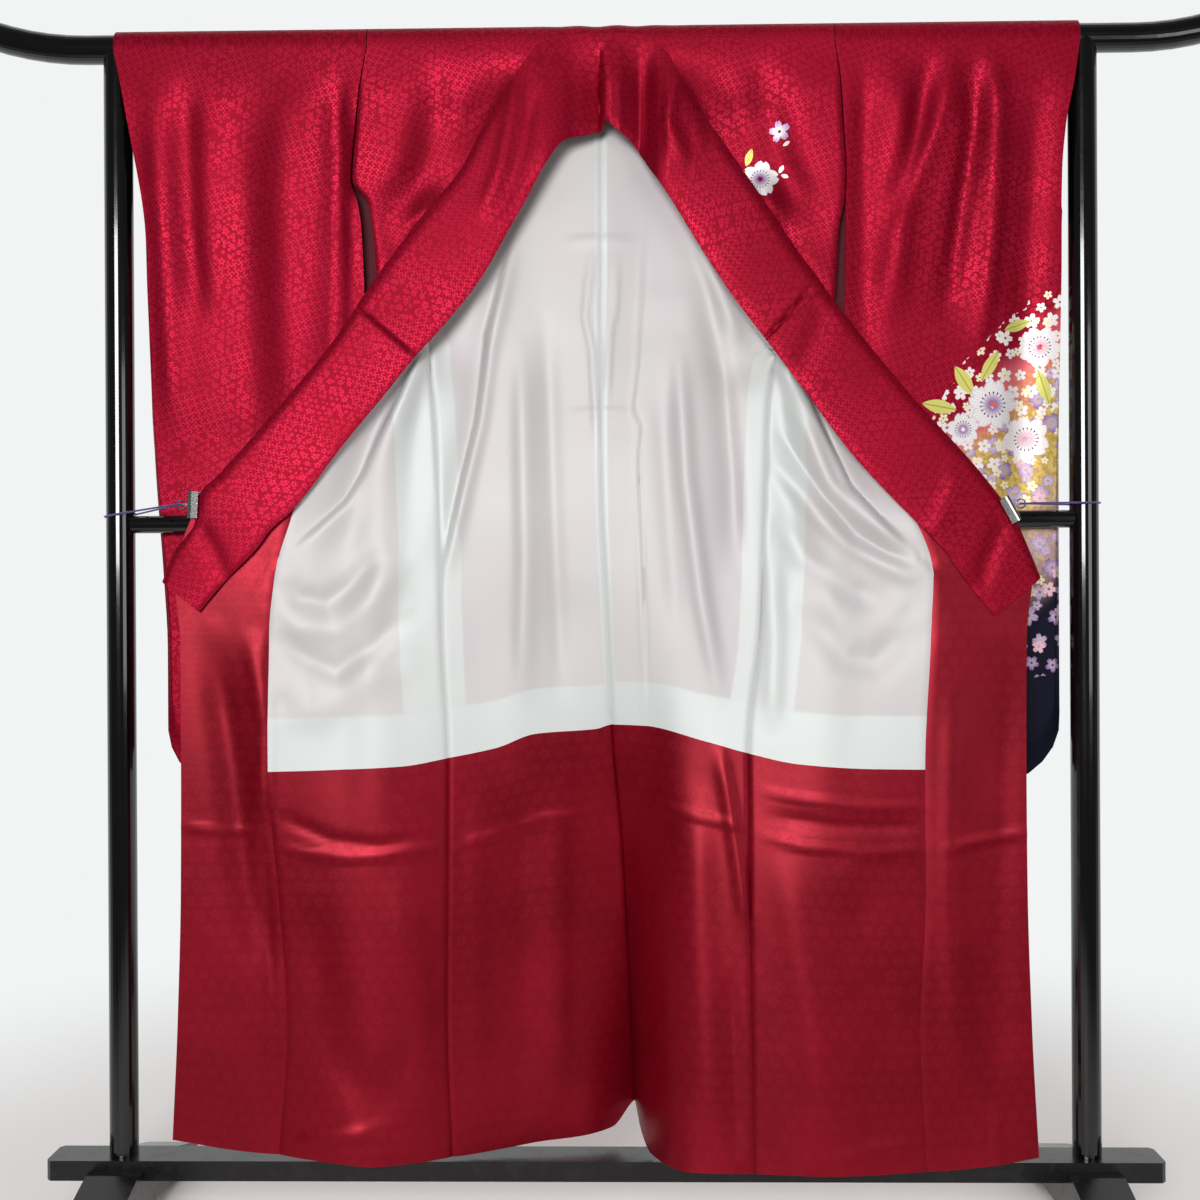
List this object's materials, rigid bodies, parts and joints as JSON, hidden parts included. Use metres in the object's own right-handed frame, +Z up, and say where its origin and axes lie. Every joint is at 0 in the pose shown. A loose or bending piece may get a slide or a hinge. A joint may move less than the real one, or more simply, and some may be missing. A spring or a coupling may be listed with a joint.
{
  "type": "furisode kimono on a kimono stand",
  "caption": "Long-sleeved formal silk kimono hung open over the rail of a lacquered wooden kimono stand, its collar ends held out by clips.",
  "frame": {"origin": "on the floor under the middle of the stand", "axes": "+X to the right along the rail, seen from the open side of the garment; -Y is the side the garment opens towards; +Z up"},
  "size_m": [1.8646, 0.46, 1.7271],
  "materials": {
    "red_silk": "red figured silk, woven key fret and small flowers, soft sheen",
    "patterned_silk": "figured silk dyed with cherry blossoms and peonies, from red through gold and lilac to navy",
    "white_lining": "plain white lining silk",
    "red_lining": "deep red satin",
    "black_lacquer": "black gloss lacquer on wood",
    "chrome": "bright chrome",
    "elastic": "purple covered elastic"
  },
  "bodies": {
    "root": {"rail": "black_lacquer", "base_board": "black_lacquer", "crossbar": "black_lacquer", "upright_left": "black_lacquer", "foot_left": "black_lacquer", "upright_right": "black_lacquer", "foot_right": "black_lacquer", "body_left": "red_silk", "upper_lining_left": "white_lining", "hem_lining_back_left": "red_lining", "hem_lining_front_left": "red_lining", "body_right": "red_silk", "upper_lining_right": "white_lining", "hem_lining_back_right": "red_lining", "hem_lining_front_right": "red_lining", "okumi_left": "red_silk", "hem_lining_okumi_left": "red_lining", "okumi_right": "red_silk", "hem_lining_okumi_right": "red_lining", "collar": "red_silk", "over_collar": "red_silk", "sleeve_left": "red_silk", "sleeve_right": "patterned_silk", "clip_left": "chrome", "clip_ring_left": "chrome", "elastic_loop_left": "elastic", "clip_right": "chrome", "clip_ring_right": "chrome", "elastic_loop_right": "elastic"}
  },
  "joints": []
}
